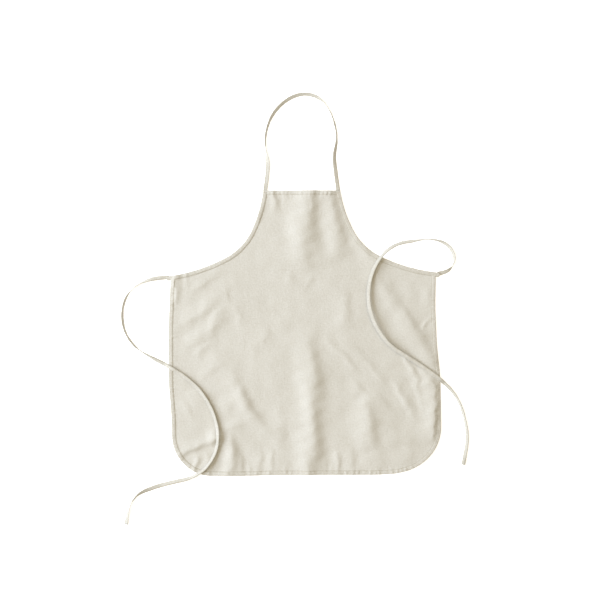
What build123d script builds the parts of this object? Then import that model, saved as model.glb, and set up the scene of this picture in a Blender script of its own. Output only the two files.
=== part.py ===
"""Artist's smock apron: a canvas bib apron with bound edges, a neck loop and two waist ties.

The apron lies face up on a flat surface. +X is to the right, +Y towards the neck and +Z out of
the front face. The origin is under the middle of the apron's outline, on that surface.
Lengths are in millimetres and angles in degrees.
"""
import os
from math import cos, radians, sin, tan

from build123d import *

os.makedirs("parts", exist_ok=True)

# Outline of the apron
HEIGHT = 641.0
SKIRT_WIDTH = 606.0
BIB_WIDTH = 173.5
BIB_CENTRE = -6.3  # the bib lies a little to the left of the skirt's middle
ARMHOLE_RADII = (290.0, 134.0, 388.0)
ARMHOLE_TURNS = (18.8, 36.6, 19.0)
LEFT_ARMHOLE_SLANT = 6.8  # how far the armhole's first stretch leans from straight down
RIGHT_ARMHOLE_SLANT = 9.0
CORNER_RADIUS_LEFT = 92.0
CORNER_RADIUS_RIGHT = 112.0

# Cloth, binding and thread
CANVAS = 0.8
BINDING_LAYER = 0.6  # one wall of the folded binding
BINDING_DEPTH = 10.2  # how far the binding reaches in from the edge
BINDING_FOLD = 1.0  # from the binding's outer edge to the canvas inside it
BINDING_THICKNESS = 2 * BINDING_LAYER + CANVAS
FRONT_FACE = BINDING_LAYER + CANVAS
HEM_DEPTH = 10.0
THREAD_WIDTH = 0.5
THREAD_HEIGHT = 0.25
BINDING_SEAM_INSET = 8.8  # from the edge to the binding's seam
HEM_SEAM_INSET = 9.0

# Tape of the neck loop and the ties: the binding folded shut and sewn along its open edge
TAPE_WIDTH = 9.2
TAPE_THICKNESS = 1.2
TAPE_SEAM_ACROSS = 3.2  # from the tape's middle to its seam
SECTION_SPACING = 8.0  # along the tape; a tie's turned-back end is one spacing long
FOLD_LAYER = 0.5

# Bar tacks where the tape leaves the apron
TACK_LENGTH = 7.0
TACK_WIDTH = 1.4
TACK_HEIGHT = 0.4
TACK_FROM_TOP = 4.0  # on the armhole bindings, from the bib's top edge
TACK_FROM_WAIST = 15.0  # on the armhole bindings, from the waist corners
TACK_ON_TIE = 5.5  # on the ties, from their first end

# Where the tape turns: x, y, height of its middle, and lean of its width from flat
NECK_LOOP_ROUTE = (
    (-88.5, 321.5, 1.0, 0),
    (-84, 350, 2.3, -20),
    (-81, 385, 3.6, -42),
    (-89, 422, 4.7, -75),
    (-86, 458, 4.7, -100),
    (-71, 495, 3.8, -135),
    (-40, 526, 3.4, -143),
    (-2, 540, 3.5, -140),
    (34, 530, 4.0, -128),
    (57, 502, 4.6, -112),
    (70, 465, 4.7, -100),
    (73.5, 434, 4.7, -88),
    (66, 399, 3.9, -48),
    (70, 360, 2.9, -28),
    (76, 321.5, 1.0, 0),
)
LEFT_TIE_ROUTE = (
    (-304.3, 125.2, 1.0, 0),
    (-324, 125, 1.0, 0),
    (-354, 119, 3.9, 48),
    (-385, 104, 4.7, 76),
    (-405, 75, 4.7, 102),
    (-411, 37, 4.7, 106),
    (-403, -2, 4.7, 98),
    (-378, -35, 4.7, 86),
    (-346, -54, 3.9, 48),
    (-316, -69, 5.7, 25),
    (-276, -92, 5.6, 22),
    (-236, -125, 6.4, 0),
    (-207, -171, 7.5, -26),
    (-193, -220, 7.7, -36),
    (-196, -261, 7.7, -40),
    (-217, -300, 7.7, -46),
    (-252, -326, 7.2, -52),
    (-296, -335, 2.4, -18),
    (-340, -347, 1.0, -5),
    (-377, -362, 4.2, -50),
    (-396, -393, 4.8, -95),
    (-401, -430, 4.0, -140),
)
RIGHT_TIE_ROUTE = (
    (299.3, 133.6, 1.0, 0),
    (317, 136, 1.0, 0),
    (333, 149, 4.7, 90),
    (338, 169, 4.2, 138),
    (330, 190, 4.9, 138),
    (312, 205, 6.6, 122),
    (283, 212, 7.6, 98),
    (243, 207, 6.8, 46),
    (208, 201, 6.0, 32),
    (178, 181, 7.4, 48),
    (155, 147, 7.7, 46),
    (143, 104, 7.7, 38),
    (144, 58, 7.7, 36),
    (160, 14, 7.6, 34),
    (190, -28, 7.0, 28),
    (236, -56, 5.0, 18),
    (283, -87, 4.6, 12),
    (321, -117, 5.9, 40),
    (347, -150, 4.8, 82),
    (361, -193, 4.6, 66),
    (367, -234, 4.1, 50),
    (362, -269, 3.0, 30),
    (357, -296, 1.8, 12),
)

top = HEIGHT / 2
side = SKIRT_WIDTH / 2
bib_left = BIB_CENTRE - BIB_WIDTH / 2
bib_right = BIB_CENTRE + BIB_WIDTH / 2


def armhole(corner, slant, toward):
    """Draw an armhole from the bib's corner to the waist; toward is 1 for the right one."""
    heading = (toward * sin(radians(slant)), -cos(radians(slant)))
    spine = JernArc(corner, heading, ARMHOLE_RADII[0], toward * ARMHOLE_TURNS[0])
    for radius, turn in zip(ARMHOLE_RADII[1:], ARMHOLE_TURNS[1:]):
        spine = JernArc(spine @ 1, spine % 1, radius, toward * turn)


def edge_strip(edge_line, depth):
    """Return a flat strip of the given depth on both sides of an edge of the apron."""
    with BuildSketch() as strip:
        with BuildLine():
            offset(edge_line.wire(), amount=depth, closed=True, side=Side.BOTH)
        make_face()
    return strip.sketch


# Edges of the apron, each one as the binding follows it
with BuildLine() as left_armhole:
    armhole((bib_left, top), LEFT_ARMHOLE_SLANT, -1)
with BuildLine() as right_armhole:
    armhole((bib_right, top), RIGHT_ARMHOLE_SLANT, 1)
left_waist = left_armhole.wire() @ 1
right_waist = right_armhole.wire() @ 1
with BuildLine() as skirt_edge:
    left_side = Line(left_waist, (-side, CORNER_RADIUS_LEFT - top))
    left_corner = RadiusArc(left_side @ 1, (CORNER_RADIUS_LEFT - side, -top), -CORNER_RADIUS_LEFT)
    bottom = Line(left_corner @ 1, (side - CORNER_RADIUS_RIGHT, -top))
    right_corner = RadiusArc(bottom @ 1, (side, CORNER_RADIUS_RIGHT - top), -CORNER_RADIUS_RIGHT)
    Line(right_corner @ 1, right_waist)
with BuildLine() as bib_edge:
    Line((bib_left, top), (bib_right, top))

with BuildSketch() as outline:
    with BuildLine():
        add(left_armhole.line)
        add(skirt_edge.line)
        add(right_armhole.line)
        add(bib_edge.line)
    make_face()


def seam_line(edge_line, inset, beside=None):
    """Return a thread's width along an edge, kept inside the outline and clear of beside."""
    with BuildSketch() as seam:
        add(edge_strip(edge_line, inset + THREAD_WIDTH))
        add(edge_strip(edge_line, inset), mode=Mode.SUBTRACT)
        add(outline.sketch, mode=Mode.INTERSECT)
        if beside:
            add(beside, mode=Mode.SUBTRACT)
    return seam.sketch


# Flat shapes of the bindings and the hem: the armhole bindings run over the ends of the others
with BuildSketch() as left_armhole_shape:
    add(edge_strip(left_armhole, BINDING_DEPTH))
    add(outline.sketch, mode=Mode.INTERSECT)
with BuildSketch() as right_armhole_shape:
    add(edge_strip(right_armhole, BINDING_DEPTH))
    add(outline.sketch, mode=Mode.INTERSECT)
with BuildSketch() as armhole_shapes:
    add(left_armhole_shape.sketch)
    add(right_armhole_shape.sketch)
with BuildSketch() as skirt_shape:
    add(edge_strip(skirt_edge, BINDING_DEPTH))
    add(outline.sketch, mode=Mode.INTERSECT)
    add(armhole_shapes.sketch, mode=Mode.SUBTRACT)
with BuildSketch() as hem_shape:
    add(edge_strip(bib_edge, HEM_DEPTH))
    add(outline.sketch, mode=Mode.INTERSECT)
    add(armhole_shapes.sketch, mode=Mode.SUBTRACT)

# Canvas body, cut to lie inside the folds of its bindings
with BuildPart() as body_panel:
    with BuildSketch(Plane.XY.offset(BINDING_LAYER)):
        add(outline.sketch)
        offset(amount=-BINDING_FOLD)
    extrude(amount=CANVAS)
body_panel.part.label = "body_panel"
export_step(body_panel.part, "parts/body_panel.step")

# Bib hem: the canvas's top edge turned over to the back
with BuildPart() as bib_top_hem:
    with BuildSketch():
        add(hem_shape.sketch)
    extrude(amount=FRONT_FACE)
    add(body_panel.part, mode=Mode.SUBTRACT)
bib_top_hem.part.label = "bib_top_hem"
export_step(bib_top_hem.part, "parts/bib_top_hem.step")


def fold_round_edge(shape):
    """Fill the active part with a binding of the given flat shape, open where the canvas lies."""
    extrude(shape, amount=BINDING_THICKNESS)
    add(body_panel.part, mode=Mode.SUBTRACT)


with BuildPart() as armhole_binding_left:
    fold_round_edge(left_armhole_shape.sketch)
armhole_binding_left.part.label = "armhole_binding_left"
export_step(armhole_binding_left.part, "parts/armhole_binding_left.step")

with BuildPart() as armhole_binding_right:
    fold_round_edge(right_armhole_shape.sketch)
armhole_binding_right.part.label = "armhole_binding_right"
export_step(armhole_binding_right.part, "parts/armhole_binding_right.step")

with BuildPart() as edge_binding:
    fold_round_edge(skirt_shape.sketch)
edge_binding.part.label = "edge_binding"
export_step(edge_binding.part, "parts/edge_binding.step")

# Lines of stitching on the front face
with BuildPart() as hem_stitching:
    with BuildSketch(Plane.XY.offset(FRONT_FACE)):
        add(seam_line(bib_edge, HEM_SEAM_INSET, armhole_shapes.sketch))
    extrude(amount=THREAD_HEIGHT)
hem_stitching.part.label = "hem_stitching"
export_step(hem_stitching.part, "parts/hem_stitching.step")

with BuildPart() as armhole_stitching_left:
    with BuildSketch(Plane.XY.offset(BINDING_THICKNESS)):
        add(seam_line(left_armhole, BINDING_SEAM_INSET))
    extrude(amount=THREAD_HEIGHT)
armhole_stitching_left.part.label = "armhole_stitching_left"
export_step(armhole_stitching_left.part, "parts/armhole_stitching_left.step")

with BuildPart() as armhole_stitching_right:
    with BuildSketch(Plane.XY.offset(BINDING_THICKNESS)):
        add(seam_line(right_armhole, BINDING_SEAM_INSET))
    extrude(amount=THREAD_HEIGHT)
armhole_stitching_right.part.label = "armhole_stitching_right"
export_step(armhole_stitching_right.part, "parts/armhole_stitching_right.step")

with BuildPart() as edge_stitching:
    with BuildSketch(Plane.XY.offset(BINDING_THICKNESS)):
        add(seam_line(skirt_edge, BINDING_SEAM_INSET, armhole_shapes.sketch))
    extrude(amount=THREAD_HEIGHT)
edge_stitching.part.label = "edge_stitching"
export_step(edge_stitching.part, "parts/edge_stitching.step")


def bar_tack(plane):
    """Add a bar tack to the active part: it lies along the plane's X, on the plane."""
    with BuildSketch(plane) as tack:
        SlotOverall(TACK_LENGTH, TACK_WIDTH)
    extrude(tack.sketch, amount=TACK_HEIGHT)


def tack_plane(edge_line, distance, toward):
    """Return the plane of a tack across a binding, at a distance along its edge."""
    wire = edge_line.wire()
    along = wire.tangent_at(distance, PositionMode.LENGTH)
    inward = Vector(0, 0, toward).cross(along).normalized()
    point = wire.position_at(distance, PositionMode.LENGTH) + inward * BINDING_DEPTH / 2
    return Plane(origin=(point.X, point.Y, BINDING_THICKNESS), x_dir=inward, z_dir=(0, 0, 1))


left_armhole_length = left_armhole.wire().length
right_armhole_length = right_armhole.wire().length

with BuildPart() as neck_tack_left:
    bar_tack(tack_plane(left_armhole, TACK_FROM_TOP, 1))
    add(armhole_stitching_left.part, mode=Mode.SUBTRACT)
neck_tack_left.part.label = "neck_tack_left"
export_step(neck_tack_left.part, "parts/neck_tack_left.step")

with BuildPart() as neck_tack_right:
    bar_tack(tack_plane(right_armhole, TACK_FROM_TOP, -1))
    add(armhole_stitching_right.part, mode=Mode.SUBTRACT)
neck_tack_right.part.label = "neck_tack_right"
export_step(neck_tack_right.part, "parts/neck_tack_right.step")

with BuildPart() as waist_tack_left:
    bar_tack(tack_plane(left_armhole, left_armhole_length - TACK_FROM_WAIST, 1))
    add(armhole_stitching_left.part, mode=Mode.SUBTRACT)
waist_tack_left.part.label = "waist_tack_left"
export_step(waist_tack_left.part, "parts/waist_tack_left.step")

with BuildPart() as waist_tack_right:
    bar_tack(tack_plane(right_armhole, right_armhole_length - TACK_FROM_WAIST, -1))
    add(armhole_stitching_right.part, mode=Mode.SUBTRACT)
waist_tack_right.part.label = "waist_tack_right"
export_step(waist_tack_right.part, "parts/waist_tack_right.step")


def tape_path(name, route):
    """Return the tape's path: straight runs joined by tangent arcs, one at each turn."""
    points = [Vector(x, y, height) for x, y, height, lean in route]
    runs = [end - start for start, end in zip(points, points[1:])]
    radii = []
    for run, following in zip(runs, runs[1:]):
        half_turn = radians(run.get_angle(following) / 2)
        radii.append(0.45 * min(run.length, following.length) / tan(half_turn))
    print(name, "runs", [round(run.length) for run in runs])
    print(name, "radii", [round(radius) for radius in radii])
    return FilletPolyline(*points, radius=radii)


def lean_at(route, share):
    """Return the lean of the tape, in radians, at a share of the way along its route."""
    points = [Vector(x, y, height) for x, y, height, lean in route]
    runs = [(end - start).length for start, end in zip(points, points[1:])]
    remaining = share * sum(runs)
    for index, run in enumerate(runs):
        if remaining <= run or index == len(runs) - 1:
            lean, next_lean = route[index][3], route[index + 1][3]
            return radians(lean + (next_lean - lean) * min(remaining / run, 1))
        remaining -= run


def tape_plane(path, route, distance):
    """Return the plane of the tape's cross-section: X across its width, Y out of its face."""
    along = path.tangent_at(distance, PositionMode.LENGTH)
    lean = lean_at(route, distance / path.length)
    level = Vector(0, 0, 1).cross(along).normalized()
    across = level * cos(lean) + along.cross(level) * sin(lean)
    middle = path.position_at(distance, PositionMode.LENGTH)
    resting = (TAPE_WIDTH * abs(sin(lean)) + TAPE_THICKNESS * abs(cos(lean))) / 2
    height = max(middle.Z, resting)
    return Plane(origin=(middle.X, middle.Y, height), x_dir=across, z_dir=along)


def along_tape(path, route, size, place=(0, 0), first=0, last=None):
    """Add a strip of the given section to the active part, between two of the tape's sections."""
    count = round(path.length / SECTION_SPACING)
    distances = [path.length * index / count for index in range(count + 1)]
    sections = []
    for distance in distances[first:last]:
        with BuildSketch(tape_plane(path, route, distance)) as section:
            with Locations(place):
                Rectangle(*size)
        sections.append(section.sketch)
    loft(sections, ruled=True)


def print_fit(tape, path):
    """Print the tape's length, and its volume against its section times that length."""
    expected = TAPE_WIDTH * TAPE_THICKNESS * path.length
    share = tape.part.volume / expected
    print(tape.part.label, "length", round(path.length, 1), "volume share", round(share, 3))


tape_size = (TAPE_WIDTH, TAPE_THICKNESS)
thread_size = (THREAD_WIDTH, THREAD_HEIGHT)
seam_place = (TAPE_SEAM_ACROSS, (TAPE_THICKNESS + THREAD_HEIGHT) / 2)
fold_size = (TAPE_WIDTH, FOLD_LAYER)
fold_place = (0, (TAPE_THICKNESS + FOLD_LAYER) / 2)

# Neck loop and the seam that closes its tape
neck_path = tape_path("neck loop", NECK_LOOP_ROUTE)
with BuildPart() as neck_loop:
    along_tape(neck_path, NECK_LOOP_ROUTE, tape_size)
neck_loop.part.label = "neck_loop"
export_step(neck_loop.part, "parts/neck_loop.step")
print_fit(neck_loop, neck_path)

with BuildPart() as neck_loop_stitching:
    along_tape(neck_path, NECK_LOOP_ROUTE, thread_size, seam_place)
neck_loop_stitching.part.label = "neck_loop_stitching"
export_step(neck_loop_stitching.part, "parts/neck_loop_stitching.step")

# Waist ties: tape with a rounded first end, its seam, its bar tack and its turned-back end
for name, route in (("left", LEFT_TIE_ROUTE), ("right", RIGHT_TIE_ROUTE)):
    path = tape_path(name + " tie", route)
    root_x, root_y, root_height, root_lean = route[0]
    with BuildPart() as waist_tie:
        along_tape(path, route, tape_size)
        with BuildSketch(Plane.XY.offset(root_height - TAPE_THICKNESS / 2)):
            with Locations((root_x, root_y)):
                Circle(TAPE_WIDTH / 2)
        extrude(amount=TAPE_THICKNESS)
    waist_tie.part.label = "waist_tie_" + name
    export_step(waist_tie.part, "parts/waist_tie_" + name + ".step")
    print_fit(waist_tie, path)

    with BuildPart() as tie_stitching:
        along_tape(path, route, thread_size, seam_place, first=1, last=-1)
    tie_stitching.part.label = "tie_stitching_" + name
    export_step(tie_stitching.part, "parts/tie_stitching_" + name + ".step")

    section = tape_plane(path, route, TACK_ON_TIE)
    tack_centre = section.origin + section.y_dir * TAPE_THICKNESS / 2
    with BuildPart() as tie_tack:
        bar_tack(Plane(origin=tack_centre, x_dir=section.x_dir, z_dir=section.y_dir))
    tie_tack.part.label = "tie_tack_" + name
    export_step(tie_tack.part, "parts/tie_tack_" + name + ".step")

    with BuildPart() as tie_end_fold:
        along_tape(path, route, fold_size, fold_place, first=-2)
    tie_end_fold.part.label = "tie_end_fold_" + name
    export_step(tie_end_fold.part, "parts/tie_end_fold_" + name + ".step")
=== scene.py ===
"""Looks of the artist's smock apron: wrinkled canvas, puckered bindings, twisted tapes, stitches.

Everything is in the part's own frame, in metres: +X right, +Y towards the neck, +Z out of the
front face. The apron lies face up on a pale floor at height 0.
"""
import math
import random

import bmesh
import bpy
import numpy as np
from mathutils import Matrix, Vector


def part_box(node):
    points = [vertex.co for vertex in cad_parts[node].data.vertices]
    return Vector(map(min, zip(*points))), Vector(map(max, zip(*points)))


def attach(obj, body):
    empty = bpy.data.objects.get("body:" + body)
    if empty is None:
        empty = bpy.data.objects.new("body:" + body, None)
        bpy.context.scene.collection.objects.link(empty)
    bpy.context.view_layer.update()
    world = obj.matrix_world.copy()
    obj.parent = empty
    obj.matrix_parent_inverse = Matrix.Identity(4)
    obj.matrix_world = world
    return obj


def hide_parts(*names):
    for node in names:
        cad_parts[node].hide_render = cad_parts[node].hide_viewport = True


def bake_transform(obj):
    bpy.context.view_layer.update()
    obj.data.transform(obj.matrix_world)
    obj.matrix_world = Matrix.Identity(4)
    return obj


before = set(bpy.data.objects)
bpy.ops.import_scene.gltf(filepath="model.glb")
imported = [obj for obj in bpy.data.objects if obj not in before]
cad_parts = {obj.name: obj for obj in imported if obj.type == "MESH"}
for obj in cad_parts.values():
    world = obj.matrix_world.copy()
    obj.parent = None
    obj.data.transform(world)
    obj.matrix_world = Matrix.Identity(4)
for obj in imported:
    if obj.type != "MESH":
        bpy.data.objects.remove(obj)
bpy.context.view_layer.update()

MM = 0.001

# ---------------------------------------------------------------- camera, lights and floor

VIEW_WIDTH = 1.35  # metres across the picture
VIEW_CENTRE = (-0.0101, 0.0743)
LENS = 85.0
SENSOR = 36.0


def make_camera():
    """A long lens straight above the apron."""
    data = bpy.data.cameras.new("camera")
    data.lens = LENS
    data.sensor_width = SENSOR
    camera = bpy.data.objects.new("camera", data)
    distance = VIEW_WIDTH * LENS / SENSOR
    camera.location = (*VIEW_CENTRE, distance)
    data.clip_end = 20
    bpy.context.scene.collection.objects.link(camera)
    bpy.context.scene.camera = camera


def area_light(name, place, size, power, colour):
    """A soft rectangular light that faces the apron and isn't seen itself."""
    data = bpy.data.lights.new(name, "AREA")
    data.shape = "RECTANGLE"
    data.size, data.size_y = size
    data.energy = power
    data.color = colour
    light = bpy.data.objects.new(name, data)
    light.location = place
    light.rotation_euler = (-Vector(place)).to_track_quat("-Z", "Y").to_euler()
    light.visible_camera = False
    bpy.context.scene.collection.objects.link(light)


def make_studio():
    """A low window-like light from the left, warm light from above, and a pale floor."""
    area_light("window", (-4.8, 1.1, 3.2), (6, 4.4), 535, (0.87, 0.96, 1.13))
    area_light("ceiling", (0.4, 0, 5), (6, 6), 130, (1.0, 0.83, 0.53))
    world = bpy.data.worlds.new("studio")
    world.use_nodes = True
    background = world.node_tree.nodes["Background"]
    background.inputs["Color"].default_value = (1.0, 0.97, 0.92, 1)
    background.inputs["Strength"].default_value = 0.38
    bpy.context.scene.world = world
    bpy.context.scene.view_settings.view_transform = "Standard"

    bpy.ops.mesh.primitive_plane_add(size=12, location=(0, 0, -0.0004))
    floor = bpy.context.object
    floor.name = "floor"
    paint = bpy.data.materials.new("floor")
    paint.use_nodes = True
    shader = paint.node_tree.nodes["Principled BSDF"]
    shader.inputs["Base Color"].default_value = (0.94, 0.94, 0.94, 1)
    shader.inputs["Roughness"].default_value = 0.9
    shader.inputs["Emission Color"].default_value = (1, 1, 1, 1)
    shader.inputs["Emission Strength"].default_value = 0.5
    floor.data.materials.append(paint)


make_camera()
make_studio()

# ---------------------------------------------------------------- routes of the tapes

# Where the tape turns: x, y, height of its middle in metres, and lean of its width from flat
NECK_LOOP_ROUTE = (
    (-0.0885, 0.3180, 0.0010, 0),
    (-0.0840, 0.3500, 0.0023, -8),
    (-0.0810, 0.3850, 0.0036, -26),
    (-0.0890, 0.4220, 0.0047, -108),
    (-0.0860, 0.4580, 0.0047, -112),
    (-0.0710, 0.4950, 0.0038, -135),
    (-0.0400, 0.5260, 0.0034, -143),
    (-0.0020, 0.5400, 0.0035, -140),
    (0.0340, 0.5300, 0.0044, -126),
    (0.0570, 0.5020, 0.0047, -72),
    (0.0700, 0.4650, 0.0047, -70),
    (0.0735, 0.4340, 0.0047, -64),
    (0.0660, 0.3990, 0.0039, -34),
    (0.0700, 0.3600, 0.0029, -14),
    (0.0760, 0.3180, 0.0010, 0),
)
LEFT_TIE_ROUTE = (
    (-0.3043, 0.1252, 0.0010, 0),
    (-0.3240, 0.1250, 0.0010, 0),
    (-0.3540, 0.1190, 0.0039, 48),
    (-0.3850, 0.1040, 0.0047, 84),
    (-0.4050, 0.0750, 0.0047, 114),
    (-0.4110, 0.0370, 0.0045, 120),
    (-0.4030, -0.0020, 0.0046, 112),
    (-0.3780, -0.0350, 0.0047, 106),
    (-0.3460, -0.0540, 0.0039, 44),
    (-0.3160, -0.0690, 0.0047, 25),
    (-0.2760, -0.0920, 0.0044, 22),
    (-0.2360, -0.1250, 0.0052, 26),
    (-0.2070, -0.1710, 0.0058, 34),
    (-0.1930, -0.2200, 0.0058, 40),
    (-0.1960, -0.2610, 0.0058, 42),
    (-0.2170, -0.3000, 0.0060, 44),
    (-0.2520, -0.3260, 0.0062, 46),
    (-0.2960, -0.3350, 0.0030, 22),
    (-0.3400, -0.3470, 0.0012, -5),
    (-0.3770, -0.3620, 0.0042, -56),
    (-0.3960, -0.3930, 0.0048, -112),
    (-0.4010, -0.4300, 0.0026, -156),
)
RIGHT_TIE_ROUTE = (
    (0.2993, 0.1336, 0.0010, 0),
    (0.3170, 0.1360, 0.0010, 16),
    (0.3330, 0.1490, 0.0047, 76),
    (0.3380, 0.1690, 0.0042, 128),
    (0.3300, 0.1900, 0.0040, 138),
    (0.3120, 0.2050, 0.0048, 122),
    (0.2830, 0.2120, 0.0052, 98),
    (0.2430, 0.2070, 0.0045, 46),
    (0.2080, 0.2010, 0.0040, 36),
    (0.1780, 0.1810, 0.0054, 46),
    (0.1550, 0.1470, 0.0056, 38),
    (0.1430, 0.1040, 0.0054, 26),
    (0.1440, 0.0580, 0.0054, 22),
    (0.1600, 0.0140, 0.0054, 26),
    (0.1900, -0.0280, 0.0054, 26),
    (0.2360, -0.0560, 0.0036, 18),
    (0.2830, -0.0870, 0.0034, 12),
    (0.3210, -0.1170, 0.0048, 40),
    (0.3470, -0.1500, 0.0048, 60),
    (0.3610, -0.1930, 0.0046, 56),
    (0.3670, -0.2340, 0.0041, 44),
    (0.3620, -0.2690, 0.0030, 28),
    (0.3570, -0.2960, 0.0018, 12),
)
POINTS_PER_SPAN = 16


def route_line(name, route):
    """Return the points of the smooth line that has the route's points as control points."""
    data = bpy.data.curves.new(name, "CURVE")
    data.dimensions = "3D"
    data.resolution_u = POINTS_PER_SPAN
    spline = data.splines.new("NURBS")
    spline.points.add(len(route) - 1)
    for point, (x, y, height, _) in zip(spline.points, route):
        point.co = (x, y, height, 1)
    spline.order_u = 3
    spline.use_endpoint_u = True
    curve = bpy.data.objects.new(name, data)
    bpy.context.scene.collection.objects.link(curve)
    bpy.context.view_layer.update()
    line = bpy.data.meshes.new_from_object(curve)
    points = np.array([vertex.co for vertex in line.vertices])
    bpy.data.objects.remove(curve)
    return points


def route_leans(route, count):
    """Return the tape's lean, in radians, at each of count points along its line."""
    spans = len(route) - 2
    at = np.array([0, *(np.arange(spans) + 0.5), spans])
    leans = np.interp(np.linspace(0, spans, count), at, [point[3] for point in route])
    width = POINTS_PER_SPAN // 2
    kernel = np.hanning(2 * width + 1)
    padded = np.pad(leans, width, mode="edge")
    return np.radians(np.convolve(padded, kernel / kernel.sum(), mode="valid"))


# ---------------------------------------------------------------- outline of the apron

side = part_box("edge_binding")[1].x
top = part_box("bib_top_hem")[1].y
BIB_LEFT = -0.09305
BIB_RIGHT = 0.08045
ARMHOLE_RADII = (0.290, 0.134, 0.388)
ARMHOLE_TURNS = (18.8, 36.6, 19.0)
LEFT_ARMHOLE_SLANT = 6.8
RIGHT_ARMHOLE_SLANT = 9.0
CORNER_RADIUS_LEFT = 0.092
CORNER_RADIUS_RIGHT = 0.112
EDGE_STEP = 0.002


def arc_points(start, heading, radius, turn):
    """Points along an arc after its start, and the heading at its end. Angles in radians."""
    count = max(2, round(radius * abs(turn) / EDGE_STEP))
    points = []
    x, y = start
    for _ in range(count):
        heading += turn / count / 2
        x += radius * abs(turn) / count * math.cos(heading)
        y += radius * abs(turn) / count * math.sin(heading)
        heading += turn / count / 2
        points.append((x, y))
    return points, heading


def armhole_points(corner, slant, toward):
    """Points down an armhole, from the bib's corner to the waist's."""
    heading = math.radians(-90 + toward * slant)
    points = [corner]
    for radius, turn in zip(ARMHOLE_RADII, ARMHOLE_TURNS):
        more, heading = arc_points(points[-1], heading, radius, toward * math.radians(turn))
        points += more
    return points


def line_points(start, end):
    """Points along a straight edge, after its start."""
    count = max(1, round(math.dist(start, end) / EDGE_STEP))
    shares = [(index + 1) / count for index in range(count)]
    return [(start[0] + (end[0] - start[0]) * s, start[1] + (end[1] - start[1]) * s) for s in shares]


left_armhole = armhole_points((BIB_LEFT, top), LEFT_ARMHOLE_SLANT, -1)
right_armhole = armhole_points((BIB_RIGHT, top), RIGHT_ARMHOLE_SLANT, 1)
bib_edge = [(BIB_LEFT, top)] + line_points((BIB_LEFT, top), (BIB_RIGHT, top))
skirt_edge = [left_armhole[-1]]
skirt_edge += line_points(skirt_edge[-1], (-side, CORNER_RADIUS_LEFT - top))
corner, _ = arc_points(skirt_edge[-1], math.radians(-90), CORNER_RADIUS_LEFT, math.pi / 2)
skirt_edge += corner
skirt_edge += line_points(skirt_edge[-1], (side - CORNER_RADIUS_RIGHT, -top))
corner, _ = arc_points(skirt_edge[-1], 0, CORNER_RADIUS_RIGHT, math.pi / 2)
skirt_edge += corner
skirt_edge += line_points(skirt_edge[-1], right_armhole[-1])
outline = np.array(left_armhole + skirt_edge[1:] + right_armhole[-2::-1])


def inside(x, y):
    """Whether each point is inside the apron's outline."""
    crossed = np.zeros(np.shape(x), bool)
    for (x1, y1), (x2, y2) in zip(outline, np.roll(outline, -1, axis=0)):
        if y1 != y2:
            meets = (y1 > y) != (y2 > y)
            crossed ^= meets & (x < (x2 - x1) * (y - y1) / (y2 - y1) + x1)
    return crossed


# ---------------------------------------------------------------- how the cloth lies

# How far the edges lie from the cut outline: for the sides y and the shift along X, and for the
# bottom x and the shift along Y
LEFT_SIDE_LAY = ((-0.32, 0.0042), (-0.26, 0.0052), (-0.20, 0.0042), (-0.11, -0.0037), (0.02, -0.0050),
                 (0.13, -0.0015))
RIGHT_SIDE_LAY = ((-0.32, 0.0), (-0.26, 0.0045), (-0.19, 0.0043), (-0.10, 0.0052), (-0.03, -0.0005),
                  (0.06, -0.0025), (0.137, 0.0015))
BOTTOM_LAY = ((-0.30, -0.0005), (-0.12, -0.0003), (-0.08, 0.0018), (0.12, 0.0020), (0.17, 0.0022),
              (0.21, 0.0055), (0.30, 0.0005))


def eased(value, table):
    """Interpolate a table of pairs smoothly."""
    at, amounts = zip(*table)
    fine = np.linspace(at[0], at[-1], 241)
    rough = np.interp(fine, at, amounts)
    kernel = np.hanning(33)
    smooth = np.convolve(np.pad(rough, 16, mode="edge"), kernel / kernel.sum(), mode="valid")
    return np.interp(value, fine, smooth)


def lay(x, y):
    """Where a point of the cut outline comes to lie."""
    x, y = np.asarray(x, float), np.asarray(y, float)
    share = np.clip((x / side + 1) / 2, 0, 1)
    below_waist = np.clip((0.15 - y) / 0.05, 0, 1)
    shift = (1 - share) * eased(y, LEFT_SIDE_LAY) + share * eased(y, RIGHT_SIDE_LAY)
    low = np.clip((-0.12 - y) / 0.2, 0, 1) ** 2
    return x + shift * below_waist, y + low * eased(x, BOTTOM_LAY)


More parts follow.
